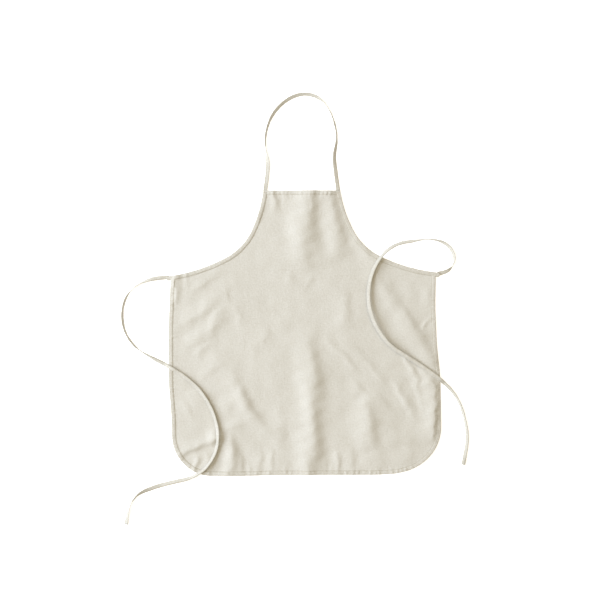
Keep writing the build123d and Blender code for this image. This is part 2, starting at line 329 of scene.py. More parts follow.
# Folds of the cloth, in millimetres: how far each slopes down to the left and to the right of its
# crest, then the crest's points as x, y and height
FOLDS = (
    # bib: one broad fold down the middle, and softer ones each side
    (30, 27, ((8, 330, 5.4), (4, 275, 7.2), (0, 225, 7.2), (-3, 180, 5.2), (-6, 126, 0))),
    (8, 11, ((15, 330, 1.6), (20, 288, 1.6), (17, 252, 0))),
    (12, 9, ((-72, 330, 2.2), (-67, 292, 2.3), (-64, 258, 0))),
    (9, 7, ((-42, 330, 0.9), (-41, 300, 0.7), (-40, 280, 0))),
    (20, 16, ((52, 330, 3.8), (61, 272, 4.6), (71, 226, 4.2), (78, 188, 2.8), (84, 155, 0))),
    (16, 9, ((106, 228, 0), (122, 203, 1.6), (146, 175, 2.2), (172, 152, 1.2))),
    (20, 9, ((-116, 240, 0), (-103, 262, 1.0), (-92, 300, 0.8), (-88, 330, 0.5))),
    (10, 9, ((-24, 158, 0), (-30, 128, 0.9), (-22, 98, 0))),
    (8, 7, ((24, 140, 0), (12, 118, 0.8), (2, 96, 0))),
    (14, 12, ((12, 98, 0), (6, 60, 0.7), (4, 25, 0))),
    # left: two long ridges that climb to the right from the side, and the drawn-up corner
    (5, 9, ((-292, 142, 1.6), (-290, 116, 2.2), (-286, 86, 2.2), (-291, 58, 0))),
    (4, 4, ((-268, 136, 0.6), (-266, 118, 0.5), (-267, 98, 0))),
    (13, 14, ((-290, -38, 0), (-246, -14, 2.0), (-212, 8, 2.4), (-193, 36, 2.2), (-184, 72, 0))),
    (15, 14, ((-292, 18, 0.4), (-250, 36, 1.8), (-216, 62, 2.2), (-186, 98, 1.2), (-172, 128, 0))),
    (12, 10, ((-270, 84, 0), (-232, 108, 1.2), (-200, 138, 0.6))),
    (13, 6, ((-176, 112, 0), (-174, 84, 0.9), (-172, 52, 0))),
    (12, 11, ((-158, 74, 0), (-146, 36, 0.9), (-148, 0, 0))),
    (10, 9, ((-252, -66, 0), (-228, -34, 1.2), (-190, -14, 0))),
    (16, 12, ((-246, -112, 0), (-206, -74, 1.3), (-160, -46, 0))),
    (14, 9, ((-104, -34, 0), (-88, -4, 1.1), (-84, 26, 0))),
    (14, 12, ((-70, 58, 0), (-46, 18, 0.9), (-44, -18, 0))),
    (16, 14, ((-130, -66, 0), (-112, -38, 0.9), (-116, 10, 0))),
    # lower left: a drawn-up peak, a steep fold to the bottom edge, and the corner's creases
    (20, 14, ((-176, -86, 0), (-158, -112, 2.4), (-139, -146, 4.6), (-119, -184, 4.2),
              (-86, -214, 1.6), (-56, -232, 0))),
    (15, 12, ((-200, -150, 0), (-170, -166, 1.6), (-144, -160, 0))),
    (16, 14, ((-188, -222, 0), (-152, -206, 1.9), (-112, -204, 0))),
    (15, 14, ((-176, -224, 0), (-166, -252, 4.4), (-163, -280, 5.2), (-170, -330, 3.2))),
    (12, 7, ((-204, -200, 0), (-199, -232, 2.6), (-210, -262, 0))),
    (5, 5, ((-196, -226, 0), (-193, -239, 2.0), (-195, -252, 0))),
    (14, 7, ((-276, -270, 2.2), (-240, -252, 2.6), (-206, -242, 2.0), (-190, -222, 0))),
    (6, 5, ((-240, -268, 0), (-241, -290, 2.0), (-247, -312, 1.6))),
    (9, 8, ((-284, -150, 0), (-262, -172, 1.0), (-250, -206, 0))),
    (16, 14, ((-262, -110, 0), (-244, -146, 1.0), (-238, -186, 0))),
    (8, 8, ((-222, -262, 0), (-218, -290, 1.2), (-222, -330, 1.0))),
    (18, 16, ((-112, -206, 0), (-66, -226, 1.4), (-36, -232, 0))),
    # lower middle: the fold down the centre
    (27, 21, ((4, 16, 0), (7, -20, 2.6), (13, -60, 4.8), (17, -110, 6.4), (19, -180, 7.0),
              (18, -250, 6.8), (8, -330, 5.6))),
    (18, 18, ((-60, -120, 0), (-58, -200, 1.0), (-54, -330, 1.2))),
    # lower right: a fold with a hooked shadow, and the long creases that run down to the right
    (28, 22, ((122, -138, 0), (140, -164, 3.2), (143, -200, 5.8), (145, -236, 5.4),
              (156, -266, 2.4), (160, -330, 0.8))),
    (22, 22, ((164, -214, 0), (196, -238, 1.8), (222, -272, 0.4))),
    (9, 9, ((34, 4, 0), (62, -28, 1.1), (98, -62, 1.2), (128, -94, 0))),
    (12, 10, ((84, -98, 0), (124, -126, 1.3), (176, -158, 1.5), (206, -184, 0))),
    (10, 10, ((66, -8, 0), (112, -38, 1.0), (154, -84, 1.1), (196, -128, 0))),
    (8, 8, ((196, -100, 0), (210, -122, 1.7), (228, -152, 2.1), (256, -206, 0))),
    (9, 10, ((226, -62, 0), (250, -112, 1.4), (262, -156, 1.0), (264, -190, 0))),
    (22, 8, ((262, -82, 0), (288, -118, 4.0), (294, -160, 5.0), (291, -204, 4.6), (276, -258, 0))),
    (20, 18, ((214, -196, 0), (232, -240, 1.2), (238, -300, 0.6))),
    # right: the long fold that the tie's loop hides at its top
    (18, 11, ((156, 132, 0.6), (182, 98, 1.9), (210, 58, 2.1), (236, 18, 1.6), (256, -14, 0))),
    (26, 22, ((205, 66, 0), (234, 20, 2.6), (256, -16, 4.6), (276, -54, 5.2), (288, -92, 3.0))),
    (7, 6, ((214, -36, 0), (232, -62, 2.0), (256, -104, 1.4))),
    (16, 13, ((96, 104, 0), (90, 66, 1.7), (90, 30, 1.6), (100, -4, 0))),
    (5, 5, ((264, 4, 0), (270, 16, 1.1), (282, 34, 0.4))),
    (10, 9, ((268, 118, 0), (276, 84, 1.1), (274, 46, 0))),
    (14, 12, ((232, 128, 0), (240, 96, 0.8), (258, 62, 0))),
    # short folds that the bottom binding draws up
    (9, 7, ((-146, -256, 0), (-143, -290, 1.5), (-142, -330, 0.8))),
    (12, 7, ((-104, -258, 0), (-101, -284, 1.5), (-108, -330, 0.7))),
    (11, 7, ((-72, -250, 0), (-74, -280, 1.4), (-80, -330, 0.7))),
    (6, 5, ((-120, -286, 0), (-121, -304, 0.8), (-122, -330, 0.6))),
    (6, 6, ((-40, -286, 0), (-41, -304, 0.9), (-42, -330, 0.8))),
    (8, 6, ((46, -278, 0), (45, -300, 0.8), (46, -330, 0.6))),
    (7, 5, ((62, -286, 0), (61, -302, 0.7), (60, -330, 0.5))),
    (10, 5, ((74, -258, 0), (77, -284, 1.5), (78, -330, 0.8))),
    (13, 8, ((102, -254, 0), (104, -286, 1.2), (104, -330, 0.6))),
)
FOLD_SIZE = 1.38 * MM  # metres of height for each unit of height in FOLDS
SWAYS = 34
SWAY_HEIGHT = 0.16 * MM
random.seed(11)
sways = []
for _ in range(SWAYS):
    length = random.uniform(28, 120) * MM
    angle = random.uniform(0, math.pi)
    sways.append((math.cos(angle) * 2 * math.pi / length, math.sin(angle) * 2 * math.pi / length,
                  random.uniform(0, 2 * math.pi), SWAY_HEIGHT * (length / 0.06) ** 0.9))


def one_fold(x, y, left_reach, right_reach, crest):
    """Height of one fold: highest along its crest, falling away on each side of it."""
    nearest = np.full(x.shape, np.inf)
    height = np.zeros(x.shape)
    for (ax, ay, first), (bx, by, last) in zip(crest, crest[1:]):
        dx, dy = bx - ax, by - ay
        length = math.hypot(dx, dy)
        dx, dy = dx / length, dy / length
        along = np.clip((x - ax) * dx + (y - ay) * dy, 0, length)
        away_x, away_y = x - ax - along * dx, y - ay - along * dy
        distance = np.hypot(away_x, away_y)
        # a crest is listed either way, so left is decided by the side's direction along X
        leftward = np.clip(0.5 - away_x / (distance + 1.0), 0, 1)
        reach = right_reach + (left_reach - right_reach) * leftward
        share = along / length
        share = share * share * (3 - 2 * share)
        closer = distance < nearest
        nearest = np.where(closer, distance, nearest)
        value = (first + (last - first) * share) * np.exp(-(distance / reach) ** 2)
        height = np.where(closer, value, height)
    return height


def fold_height(x, y):
    """Height of the folds and of the cloth's gentle sway above where it would lie flat."""
    wander_x = x / MM + 2.0 * np.sin(x * 95 + y * 41) + 1.3 * np.sin(y * 190 - x * 57 + 1.3)
    wander_y = y / MM + 2.0 * np.sin(y * 88 - x * 60 + 2.1) + 1.3 * np.sin(x * 170 + y * 77)
    height = np.zeros(np.shape(x))
    for left_reach, right_reach, crest in FOLDS:
        xs, ys = [p[0] for p in crest], [p[1] for p in crest]
        margin = 2.4 * max(left_reach, right_reach)
        near = (wander_x > min(xs) - margin) & (wander_x < max(xs) + margin)
        near &= (wander_y > min(ys) - margin) & (wander_y < max(ys) + margin)
        if near.any():
            fold = one_fold(wander_x[near], wander_y[near], left_reach, right_reach, crest)
            height[near] += fold * FOLD_SIZE
    for kx, ky, phase, size in sways:
        height += size * (1 + np.sin(kx * x + ky * y + phase)) * 0.5
    return height


# Puckers that the seams draw into the cloth
CLOTH_MIDDLE = 1.5 * MM  # height of the canvas's middle where it lies flat
CANVAS = 0.8 * MM


def pucker_list(edge, inset, spacing, size, reach, seed, skip=0.0):
    """Return short creases that run inward from a seam: place, direction, reach and height."""
    random.seed(seed)
    points = np.array(edge)
    steps = np.r_[0, np.cumsum(np.hypot(*np.diff(points, axis=0).T))]
    found = []
    at = skip + random.uniform(0.3, 1) * spacing
    while at < steps[-1] - skip:
        x, y = np.interp(at, steps, points[:, 0]), np.interp(at, steps, points[:, 1])
        x2, y2 = np.interp(at + MM, steps, points[:, 0]), np.interp(at + MM, steps, points[:, 1])
        along = math.atan2(y2 - y, x2 - x)
        inward = along + math.pi / 2 + random.uniform(-0.35, 0.35)
        strength = random.choice((0.35, 0.5, 0.7, 1.0, 1.3))
        found.append((x + math.cos(along + math.pi / 2) * inset, y + math.sin(along + math.pi / 2) * inset,
                      inward, reach * random.uniform(0.6, 1.3) * (0.5 + strength / 2),
                      spacing * random.uniform(0.2, 0.32), size * strength))
        at += spacing * random.uniform(0.65, 1.5)
    return found


PUCKERS = (
    pucker_list(skirt_edge, 7 * MM, 10.5 * MM, 0.95 * MM, 11 * MM, 3, skip=20 * MM)
    + pucker_list(left_armhole, 6 * MM, 12 * MM, 0.4 * MM, 8 * MM, 5, skip=6 * MM)
    + pucker_list(right_armhole[::-1], 6 * MM, 12 * MM, 0.4 * MM, 8 * MM, 6, skip=6 * MM)
    + pucker_list(bib_edge[::-1], 9 * MM, 10 * MM, 0.9 * MM, 13 * MM, 7, skip=8 * MM)
)


def pucker_height(x, y):
    """Height of the puckers: strongest at the seam, and gone a little way in."""
    x, y = np.asarray(x, float), np.asarray(y, float)
    height = np.zeros(x.shape)
    for px, py, inward, reach, width, size in PUCKERS:
        near = (abs(x - px) < 2.2 * reach) & (abs(y - py) < 2.2 * reach)
        if not near.any():
            continue
        rx, ry = x[near] - px, y[near] - py
        along = rx * math.cos(inward) + ry * math.sin(inward)
        across = -rx * math.sin(inward) + ry * math.cos(inward)
        fade = np.clip(1 - along / reach, 0, 1) * np.clip((along + 9 * MM) / (6 * MM), 0, 1)
        opening = width * (1 + np.clip(along / reach, 0, 1))
        height[near] += size * fade ** 1.2 * np.exp(-(across / opening) ** 2)
    return height


def cloth_height(x, y):
    """Height of the middle of the canvas over a laid point."""
    x, y = np.asarray(x, float), np.asarray(y, float)
    return CLOTH_MIDDLE + fold_height(x, y) + pucker_height(x, y)


# ---------------------------------------------------------------- mesh helpers


def new_piece(name, vertices, faces, material, uvs=None):
    """Make a smooth mesh object from points and faces, with one material."""
    data = bpy.data.meshes.new(name)
    data.from_pydata([tuple(v) for v in vertices], [], faces)
    shape = bmesh.new()
    shape.from_mesh(data)
    bmesh.ops.recalc_face_normals(shape, faces=shape.faces)
    shape.to_mesh(data)
    shape.free()
    data.update()
    piece = bpy.data.objects.new(name, data)
    bpy.context.scene.collection.objects.link(piece)
    data.materials.append(material)
    data.polygons.foreach_set("use_smooth", [True] * len(data.polygons))
    if uvs is not None:
        layer = data.uv_layers.new(name="along_across")
        indices = np.zeros(len(data.loops), int)
        data.loops.foreach_get("vertex_index", indices)
        layer.data.foreach_set("uv", np.asarray(uvs, np.float32)[indices].ravel())
    return piece


def ring_faces(rings, points):
    """Faces of a tube made of rings of points, with its two ends filled."""
    faces = []
    for ring in range(rings - 1):
        for index in range(points):
            a = ring * points + index
            b = ring * points + (index + 1) % points
            faces.append((a, b, b + points, a + points))
    faces.append(tuple(range(points))[::-1])
    faces.append(tuple(range((rings - 1) * points, rings * points)))
    return faces


# ---------------------------------------------------------------- materials


class Nodes:
    """Adds nodes to a material and links them, one line each."""

    def __init__(self, name):
        self.material = bpy.data.materials.new(name)
        self.material.use_nodes = True
        self.tree = self.material.node_tree
        self.shader = self.tree.nodes["Principled BSDF"]

    def add(self, kind, values=(), **settings):
        """Add a node, fill its inputs in order with values or links, and return it."""
        node = self.tree.nodes.new(kind)
        for key, value in settings.items():
            setattr(node, key, value)
        for index, value in enumerate(values):
            if value is None:
                continue
            if isinstance(value, bpy.types.NodeSocket):
                self.tree.links.new(value, node.inputs[index])
            else:
                node.inputs[index].default_value = value
        return node

    def math(self, operation, *values):
        return self.add("ShaderNodeMath", values, operation=operation).outputs[0]

    def noise(self, place, scale, detail=2.0, roughness=0.5):
        node = self.add("ShaderNodeTexNoise")
        self.tree.links.new(place, node.inputs["Vector"])
        node.inputs["Scale"].default_value = scale
        node.inputs["Detail"].default_value = detail
        node.inputs["Roughness"].default_value = roughness
        return node.outputs["Fac"]

    def stretched(self, place, x, y):
        """The same coordinates with their first two axes scaled."""
        node = self.add("ShaderNodeMapping")
        self.tree.links.new(place, node.inputs["Vector"])
        node.inputs["Scale"].default_value = (x, y, 1)
        return node.outputs[0]

    def blend(self, share, first, second):
        """Mix two colours by a share."""
        node = self.add("ShaderNodeMix", data_type="RGBA")
        self.tree.links.new(share, node.inputs["Factor"])
        for socket, colour in (("A", first), ("B", second)):
            target = [i for i in node.inputs if i.name == socket and i.type == "RGBA"][0]
            if isinstance(colour, bpy.types.NodeSocket):
                self.tree.links.new(colour, target)
            else:
                target.default_value = (*colour, 1)
        return [o for o in node.outputs if o.type == "RGBA"][0]

    def bump(self, height, distance, strength, normal=None):
        node = self.add("ShaderNodeBump")
        node.inputs["Distance"].default_value = distance
        node.inputs["Strength"].default_value = strength
        self.tree.links.new(height, node.inputs["Height"])
        if normal:
            self.tree.links.new(normal, node.inputs["Normal"])
        return node.outputs[0]


def woven(name, yarn, colour, shade, crumple, diagonal=False, seam=None, seam_shade_reach=0.9 * MM):
    """Cloth of crossing yarns: plain weave, or twill where the weave steps diagonally. A band is
    painted darker at its seam, that distance from its first edge: painted shade for the groove there."""
    nodes = Nodes(name)
    place = nodes.add("ShaderNodeTexCoord").outputs["UV"]
    parts = nodes.add("ShaderNodeSeparateXYZ", [place])
    across = nodes.math("MULTIPLY", parts.outputs[0], math.pi / yarn)
    along = nodes.math("MULTIPLY", parts.outputs[1], math.pi / yarn)
    warp = nodes.math("SINE", across)
    weft = nodes.math("SINE", along)
    if diagonal:
        over = nodes.math("SINE", nodes.math("MULTIPLY", nodes.math("ADD", across, along), 0.5))
        relief = nodes.math("MULTIPLY", nodes.math("ABSOLUTE", warp), nodes.math("ABSOLUTE", over))
    else:
        over = nodes.math("MULTIPLY", warp, weft)
        relief = nodes.math("ABSOLUTE", over)
    # slubs: yarns that are thicker or darker for a few centimetres
    warp_slub = nodes.noise(nodes.stretched(place, 1 / yarn / 1.6, 60), 1.0, 1.5)
    weft_slub = nodes.noise(nodes.stretched(place, 60, 1 / yarn / 1.6), 1.0, 1.5)
    slub = nodes.math("ADD", warp_slub, weft_slub)
    mottle = nodes.noise(place, 300, 2.5, 0.7)
    cloud = nodes.noise(place, 6, 2.0, 0.5)
    gaps = nodes.math("SUBTRACT", 1.0, relief)
    darker = nodes.math("MULTIPLY_ADD", gaps, 0.30, nodes.math("MULTIPLY_ADD", slub, 0.45, -0.25))
    darker = nodes.math("ADD", darker, nodes.math("MULTIPLY_ADD", mottle, 1.3, -0.62))
    darker = nodes.math("ADD", darker, nodes.math("MULTIPLY_ADD", cloud, 0.30, -0.15))
    # painted shade: a darker line along the seam, in place of the shade that falls in its groove
    if seam:
        from_seam = nodes.math("ABSOLUTE", nodes.math("SUBTRACT", parts.outputs[0], seam))
        painted_seam_shade = nodes.math("SUBTRACT", 1.0, nodes.math("DIVIDE", from_seam, seam_shade_reach))
        darker = nodes.math("MULTIPLY_ADD", nodes.math("MAXIMUM", painted_seam_shade, 0.0), 1.1, darker)
    share = nodes.add("ShaderNodeClamp", [darker, 0.0, 1.0]).outputs[0]
    paint = nodes.blend(share, colour, shade)
    nodes.tree.links.new(paint, nodes.shader.inputs["Base Color"])
    nodes.tree.links.new(nodes.math("MULTIPLY_ADD", share, 0.08, 0.84), nodes.shader.inputs["Roughness"])
    nodes.shader.inputs["Specular IOR Level"].default_value = 0.25
    nodes.shader.inputs["Sheen Weight"].default_value = 0.08
    nodes.shader.inputs["Sheen Roughness"].default_value = 0.5
    wrinkles = nodes.noise(place, 130, 4.0, 0.68)
    large = nodes.bump(wrinkles, 0.0012, crumple)
    yarns = nodes.math("ADD", relief, nodes.math("MULTIPLY", slub, 0.5))
    fine = nodes.bump(yarns, 0.00012, 0.7, large)
    nodes.tree.links.new(fine, nodes.shader.inputs["Normal"])
    return nodes.material


def thread_material():
    """Twisted cotton thread."""
    nodes = Nodes("thread")
    place = nodes.add("ShaderNodeTexCoord").outputs["Object"]
    twist = nodes.noise(place, 2600, 1.0)
    paint = nodes.blend(twist, (0.66, 0.62, 0.53), (0.50, 0.46, 0.37))
    nodes.tree.links.new(paint, nodes.shader.inputs["Base Color"])
    nodes.tree.links.new(nodes.bump(twist, 0.00008, 0.5), nodes.shader.inputs["Normal"])
    nodes.shader.inputs["Roughness"].default_value = 0.7
    return nodes.material


CANVAS_YARN = 0.62 * MM
TAPE_YARN = 0.42 * MM
CANVAS_COLOUR = (0.625, 0.606, 0.552)
canvas = woven("canvas", CANVAS_YARN, CANVAS_COLOUR, (0.470, 0.448, 0.375), 0.6)
# the binding, tape and hem get a line of painted shade along their seams
binding = woven("binding", TAPE_YARN, (0.625, 0.604, 0.545), (0.430, 0.405, 0.330), 0.45,
                diagonal=True, seam=9.3 * MM, seam_shade_reach=1.1 * MM)
tape = woven("tape", TAPE_YARN, (0.610, 0.588, 0.526), (0.410, 0.384, 0.308), 0.3,
             diagonal=True, seam=8.1 * MM, seam_shade_reach=1.5 * MM)
hemmed = woven("canvas_hem", CANVAS_YARN, CANVAS_COLOUR, (0.450, 0.428, 0.355), 0.6, seam=9.3 * MM)
thread = thread_material()

# ---------------------------------------------------------------- canvas body

CELL = 2.5 * MM
PANEL_INSET = 1.4 * MM  # the canvas's raw edge lies inside the bindings


def edge_distance(points):
    """Distance of each point from the cut outline."""
    nearest = np.full(len(points), np.inf)
    for x, y in outline:
        nearest = np.minimum(nearest, np.hypot(points[:, 0] - x, points[:, 1] - y))
    return nearest


def make_panel():
    """The canvas body: one sheet with two faces, wrinkled as it lies."""
    across = np.arange(-side, side + CELL, CELL)
    down = np.arange(-top, top + CELL, CELL)
    x, y = np.meshgrid(across, down)
    points = np.column_stack([x.ravel(), y.ravel()])
    kept = inside(points[:, 0], points[:, 1])
    kept[kept] = edge_distance(points[kept]) > PANEL_INSET
    kept = kept.reshape(x.shape)
    cells = kept[:-1, :-1] & kept[1:, :-1] & kept[:-1, 1:] & kept[1:, 1:]
    used = np.zeros(x.shape, bool)
    for rows, columns in ((0, 0), (0, 1), (1, 0), (1, 1)):
        used[rows:rows + cells.shape[0], columns:columns + cells.shape[1]] |= cells
    number = np.full(x.shape, -1)
    number[used] = np.arange(used.sum())
    flat = np.column_stack([x[used], y[used]])
    laid_x, laid_y = lay(flat[:, 0], flat[:, 1])
    middle = cloth_height(laid_x, laid_y)
    front = np.column_stack([laid_x, laid_y, middle + CANVAS / 2])
    back = np.column_stack([laid_x, laid_y, middle - CANVAS / 2])
    corners = np.stack([number[:-1, :-1][cells], number[:-1, 1:][cells],
                        number[1:, 1:][cells], number[1:, :-1][cells]], axis=1)
    count = len(flat)
    faces = [tuple(f) for f in corners.tolist()]
    faces += [tuple(c + count for c in f[::-1]) for f in corners.tolist()]
    once = {}
    for a, b, c, d in corners.tolist():
        for edge in ((a, b), (b, c), (c, d), (d, a)):
            if edge[::-1] in once:
                del once[edge[::-1]]
            else:
                once[edge] = True
    faces += [(b, a, a + count, b + count) for a, b in once]
    panel = new_piece("canvas_panel", np.vstack([front, back]), faces, canvas, np.vstack([flat, flat]))
    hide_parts("body_panel")
    return panel


# ---------------------------------------------------------------- bindings and hem

STATION = 1.8 * MM  # between the sections of a band
BINDING_DEPTH = 10.2 * MM
BINDING_SEAM = 8.8 * MM
BINDING_HALF = 1.40 * MM  # half the thickness of the side and bottom binding
ARMHOLE_HALF = 1.50 * MM  # the armhole bindings run over the ends of the others
HEM_HALF = 1.15 * MM
HEM_DEPTH = 10.0 * MM
HEM_SEAM = 9.0 * MM
# Half a section of a folded edge: distance in from the fold as a share of the depth, and height
# as a share of half the thickness
FOLD_SECTION = ((0.0, 0.0), (0.015, 0.45), (0.05, 0.80), (0.12, 0.97), (0.30, 1.0), (0.55, 0.99),
                (0.72, 0.95), (0.80, 0.82), (0.84, 0.60), (0.87, 0.46), (0.91, 0.60), (0.95, 0.62),
                (1.0, 0.15))
RUFFLE = 0.16 * MM


def ruffle(at, seed):
    """Small uneven waves along a sewn band."""
    random.seed(seed)
    wave = np.zeros(len(at))
    for length in (0.0046, 0.0063, 0.0091, 0.0148):
        wave += np.sin(at / length * 2 * math.pi + random.uniform(0, 6)) * RUFFLE / 2
    return wave


def resampled(edge, step):
    """Points at even steps along an edge, with the direction into the cloth at each."""
    points = np.array(edge)
    lengths = np.r_[0, np.cumsum(np.hypot(*np.diff(points, axis=0).T))]
    at = np.linspace(0, lengths[-1], max(2, round(lengths[-1] / step)) + 1)
    places = np.column_stack([np.interp(at, lengths, points[:, i]) for i in (0, 1)])
    ahead = np.gradient(places, axis=0)
    ahead /= np.linalg.norm(ahead, axis=1)[:, None]
    inward = np.column_stack([-ahead[:, 1], ahead[:, 0]])
    return at, places, ahead, inward


def folded_edge(name, edge, depth, half, material, taper=0, rounded=0):
    """A band folded round an edge of the cloth, following its waves. It can start thin over a short
    taper, and its far end can be rounded."""
    at, places, ahead, inward = resampled(edge, STATION)
    if rounded:
        extra = np.linspace(0, 1, 9)[1:]
        turn = np.sin(extra * math.pi / 2) * rounded
        at = np.r_[at, at[-1] + turn]
        places = np.vstack([places, places[-1] + turn[:, None] * ahead[-1]])
        inward = np.vstack([inward, np.repeat(inward[-1:], len(turn), axis=0)])
    width = np.ones(len(at))
    if rounded:
        width[-len(turn):] = np.maximum(np.cos(extra * math.pi / 2), 0.12)
    section = list(FOLD_SECTION) + [(d, -h) for d, h in FOLD_SECTION[:0:-1]]
    fullness = np.ones(len(at))
    if taper:
        fullness = 0.62 + 0.38 * np.clip(at / taper, 0, 1)
    rings, uvs = [], []
    for share, rise in section:
        from_edge = depth * (0.5 + (share - 0.5) * width)
        points = places + inward * from_edge[:, None]
        x, y = lay(points[:, 0], points[:, 1])
        crown = rise * half * fullness + ruffle(at + share * 0.002, len(name)) * (share > 0.3)
        height = np.maximum(cloth_height(x, y) + crown, 0.05 * MM)
        rings.append(np.column_stack([x, y, height]))
        uvs.append(np.column_stack([abs(from_edge) + (0 if rise >= 0 else 2 * abs(depth)), at]))
    vertices = np.stack(rings, axis=1).reshape(-1, 3)
    coordinates = np.stack(uvs, axis=1).reshape(-1, 2)
    faces = ring_faces(len(at), len(section))
    return new_piece(name, vertices, faces, material, coordinates)


STITCH_PITCH = 3.0 * MM
STITCH_LENGTH = 2.2 * MM
STITCH_RADIUS = 0.27 * MM
TACK_LENGTH = 7.0 * MM
TACK_WIDTH = 1.5 * MM
TACK_TURNS = 11
TACK_THREAD_RADIUS = 0.24 * MM


def stitches(name, rows):
    """Short lengths of thread. A row is places, directions along it, and directions out of the cloth."""
    rings = ((-0.5, 0.35), (-0.36, 0.95), (0.0, 1.1), (0.36, 0.95), (0.5, 0.35))
    angles = np.arange(6) * math.pi / 3
    vertices, faces = [], []
    for places, along, out in rows:
        sideways = np.cross(along, out)
        for place, a, o, s in zip(places, along, out, sideways):
            start = len(vertices)
            for share, size in rings:
                sink = (1 - size) * STITCH_RADIUS * 0.8
                for angle in angles:
                    offset = o * (math.sin(angle) * size * STITCH_RADIUS - sink)
                    vertices.append(place + a * share * STITCH_LENGTH + offset
                                    + s * math.cos(angle) * size * STITCH_RADIUS)
            faces += [tuple(start + i for i in f) for f in ring_faces(len(rings), len(angles))]
    piece = new_piece(name, vertices, faces, thread)
    return piece


def unit(vectors):
    return vectors / np.linalg.norm(vectors, axis=-1, keepdims=True)


def edge_stitches(name, edge, inset, lift, skip):
    """A line of stitching beside an edge, on both faces of the cloth. It skips that much at each end."""
    at, places, ahead, inward = resampled(edge, STITCH_PITCH)
    chosen = (at >= skip) & (at <= at[-1] - skip)
    points = places + inward * inset
    x, y = lay(points[:, 0], points[:, 1])
    middle = np.column_stack([x, y, cloth_height(x, y)])
    along = unit(np.gradient(middle, axis=0))
    across = np.column_stack([inward, np.zeros(len(at))])
    out = unit(np.cross(along, across))
    rows = []
    for face in (1, -1):
        shift = middle + out * face * lift
        shift[:, 2] = np.maximum(shift[:, 2], STITCH_RADIUS)
        rows.append((shift[chosen], along[chosen], out[chosen] * face))
    return stitches(name, rows)


def bar_tack(name, place, across, out):
    """A dense zigzag of thread across a band."""
    across, out = unit(np.array(across, float)), unit(np.array(out, float))
    along = np.cross(out, across)
    line = []
    for step in range(2 * TACK_TURNS + 1):
        share = step / (2 * TACK_TURNS) - 0.5
        toward = 0.5 if step % 2 else -0.5
        line.append(place + across * TACK_LENGTH * share + along * TACK_WIDTH * toward)
    vertices, faces = [], []
    sides = np.arange(6) * math.pi / 3
    for start, end in zip(line, line[1:]):
        run = unit(end - start)
        aside = np.cross(run, out)
        first = len(vertices)
        tip = run * STITCH_RADIUS
        for point, size in ((start - tip, 0.5), (start, 1.0), (end, 1.0), (end + tip, 0.5)):
            for angle in sides:
                direction = out * math.sin(angle) + aside * math.cos(angle)
                vertices.append(point + direction * size * TACK_THREAD_RADIUS)
        faces += [tuple(first + i for i in f) for f in ring_faces(4, len(sides))]
    piece = new_piece(name, vertices, faces, thread)
    return piece


# ---------------------------------------------------------------- what the tapes rest on

TAPE_WIDTH = 9.2 * MM
TAPE_THICKNESS = 1.2 * MM
TAPE_SEAM = 3.2 * MM  # from the tape's middle to its seam
SWING_STEP = 5  # degrees between the places where a swung tie is held clear
BRIDGE_REACH = 9 * MM  # a tape over a bump comes down by BRIDGE_DROP within this distance
BRIDGE_DROP = 2.2 * MM
BRIDGE_SMOOTHING = 4 * MM
REST_GAP = 0.05 * MM


def support_height(x, y):
    """Height of what a tape would lie on: the floor, or the apron's front."""
    x, y = np.asarray(x, float), np.asarray(y, float)
    on_cloth = inside(x, y)
    top_face = cloth_height(x, y) + BINDING_HALF
    return np.where(on_cloth, top_face, 0.0)


def settle(points, leans, over_cloth, swing):
    """Return the sections' centres and directions, with every section resting on something.
    A tie also clears what it passes over while it swings about its first end, by swing degrees."""
    ahead = unit(np.gradient(points, axis=0))
    level = unit(np.column_stack([-ahead[:, 1], ahead[:, 0], np.zeros(len(points))]))
    raised = np.cross(ahead, level)
    across = level * np.cos(leans)[:, None] + raised * np.sin(leans)[:, None]
    out = np.cross(ahead, across)
    half_height = (TAPE_WIDTH * np.abs(across[:, 2]) + TAPE_THICKNESS * np.abs(out[:, 2])) / 2
    need = half_height.copy()
    if over_cloth:
        for share in (-1.0, -0.5, 0.0, 0.5, 1.0):
            drop = across * share * TAPE_WIDTH / 2
            from_pivot = (points + drop - points[0])[:, 0:2]
            for angle in np.radians(np.arange(0, swing + 1, SWING_STEP)):
                x = points[0, 0] + from_pivot[:, 0] * math.cos(angle) - from_pivot[:, 1] * math.sin(angle)
                y = points[0, 1] + from_pivot[:, 0] * math.sin(angle) + from_pivot[:, 1] * math.cos(angle)
                below = support_height(x, y)
                need = np.maximum(need, below - drop[:, 2] + TAPE_THICKNESS / 2 * np.abs(out[:, 2]))
    else:
        need = np.maximum(need, points[:, 2])
    steps = np.r_[0, np.cumsum(np.linalg.norm(np.diff(points, axis=0), axis=1))]
    away = np.abs(steps[:, None] - steps[None, :])
    bridged = np.max(need[None, :] - (away / BRIDGE_REACH) ** 2 * BRIDGE_DROP, axis=1)
    weights = np.exp(-(away / BRIDGE_SMOOTHING) ** 2)
    smooth = weights @ bridged / weights.sum(axis=1)
    centres = points.copy()
    centres[:, 2] = np.maximum(smooth, need) + REST_GAP
    return centres, across, out


# ---------------------------------------------------------------- tapes

LOWEST = 0.02 * MM  # no point of a tape goes lower than this
# Half a section of the tape: across and out as shares of half its width and half its thickness.
# The fold is on the left; the seam's groove and the two open edges are on the right.
TAPE_SECTION = ((-1.0, 0.0), (-0.965, 0.62), (-0.88, 0.96), (-0.5, 1.05), (0.0, 1.0), (0.48, 1.05),
                (0.62, 0.92), (0.70, 0.70), (0.78, 0.92), (0.90, 1.0), (0.985, 0.78), (1.0, 0.22))
SPLIT = (0.955, 0.0)  # the gap between the open edges


